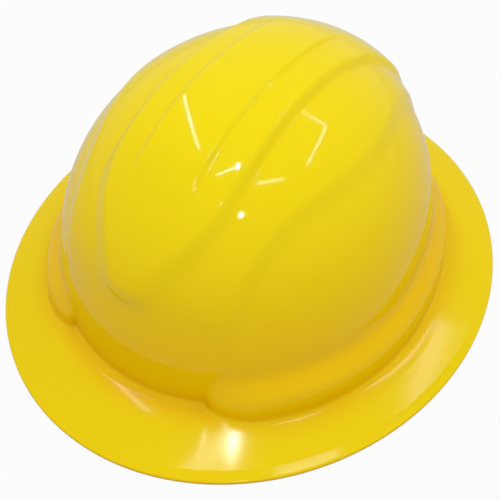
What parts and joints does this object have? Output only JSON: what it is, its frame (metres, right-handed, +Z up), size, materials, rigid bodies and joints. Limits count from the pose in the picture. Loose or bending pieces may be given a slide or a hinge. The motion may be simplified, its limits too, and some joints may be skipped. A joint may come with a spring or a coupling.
{
  "type": "full brim hard hat",
  "caption": "Full brim hard hat: glossy moulded shell with a raised centre panel and side bosses, webbing crown straps, padded headband and a swinging nape band with ratchet knob.",
  "frame": {"origin": "under the middle of the hat, on the plane that the brim's rim rests on", "axes": "-Y towards the brow, +Y towards the nape, +X towards the wearer's left, +Z up through the crown"},
  "size_m": [0.2868, 0.33, 0.1431],
  "materials": {
    "shell": "glossy moulded plastic",
    "webbing": "woven polyester webbing",
    "suspension": "moulded plastic with a fine grain",
    "pad": "brushed knit over foam",
    "rack": "moulded plastic",
    "knob": "moulded plastic",
    "grip": "soft overmoulded rubber",
    "steel": "zinc plated"
  },
  "bodies": {
    "shell_and_headband": {"shell": "shell", "suspension_key_front_left": "suspension", "suspension_key_front_right": "suspension", "suspension_key_rear_left": "suspension", "suspension_key_rear_right": "suspension", "crown_strap_left_to_right": "webbing", "crown_strap_right_to_left": "webbing", "crown_patch": "webbing", "headband": "suspension", "brow_pad": "pad", "nape_pivot_left": "suspension", "nape_pivot_right": "suspension"},
    "nape": {"nape_band": "suspension", "nape_pad": "pad", "ratchet_back_plate": "suspension", "ratchet_cover": "suspension", "cover_screws": "steel"},
    "knob": {"ratchet_knob": "knob", "knob_grip": "grip", "drive_pinion": "rack", "click_spring": "steel", "axle_screw": "steel"},
    "tail_left": {"rack_tail_left": "rack"},
    "tail_right": {"rack_tail_right": "rack"}
  },
  "joints": [
    {"name": "nape_swing", "type": "hinge", "parent": "shell_and_headband", "child": "nape", "pos_m": [0, 0.018, 0.0145], "axis": [-1, 0, 0], "range_deg": [0, 35]},
    {"name": "knob_turn", "type": "hinge", "parent": "nape", "child": "knob", "pos_m": [0, 0.1, 0.0145], "axis": [0, -1, 0], "range_deg": [-244, 399]},
    {"name": "tail_left_slide", "type": "hinge", "parent": "nape", "child": "tail_left", "pos_m": [0, 0.018, 0.0145], "axis": [0, 0, 1], "range_deg": [-11, 18]},
    {"name": "tail_right_slide", "type": "hinge", "parent": "nape", "child": "tail_right", "pos_m": [0, 0.018, 0.0145], "axis": [0, 0, 1], "range_deg": [-18, 11]}
  ],
  "couplings": [
    {"joint": "tail_left_slide", "follows": "knob_turn", "ratio": 0.045064},
    {"joint": "tail_right_slide", "follows": "knob_turn", "ratio": -0.045064}
  ]
}
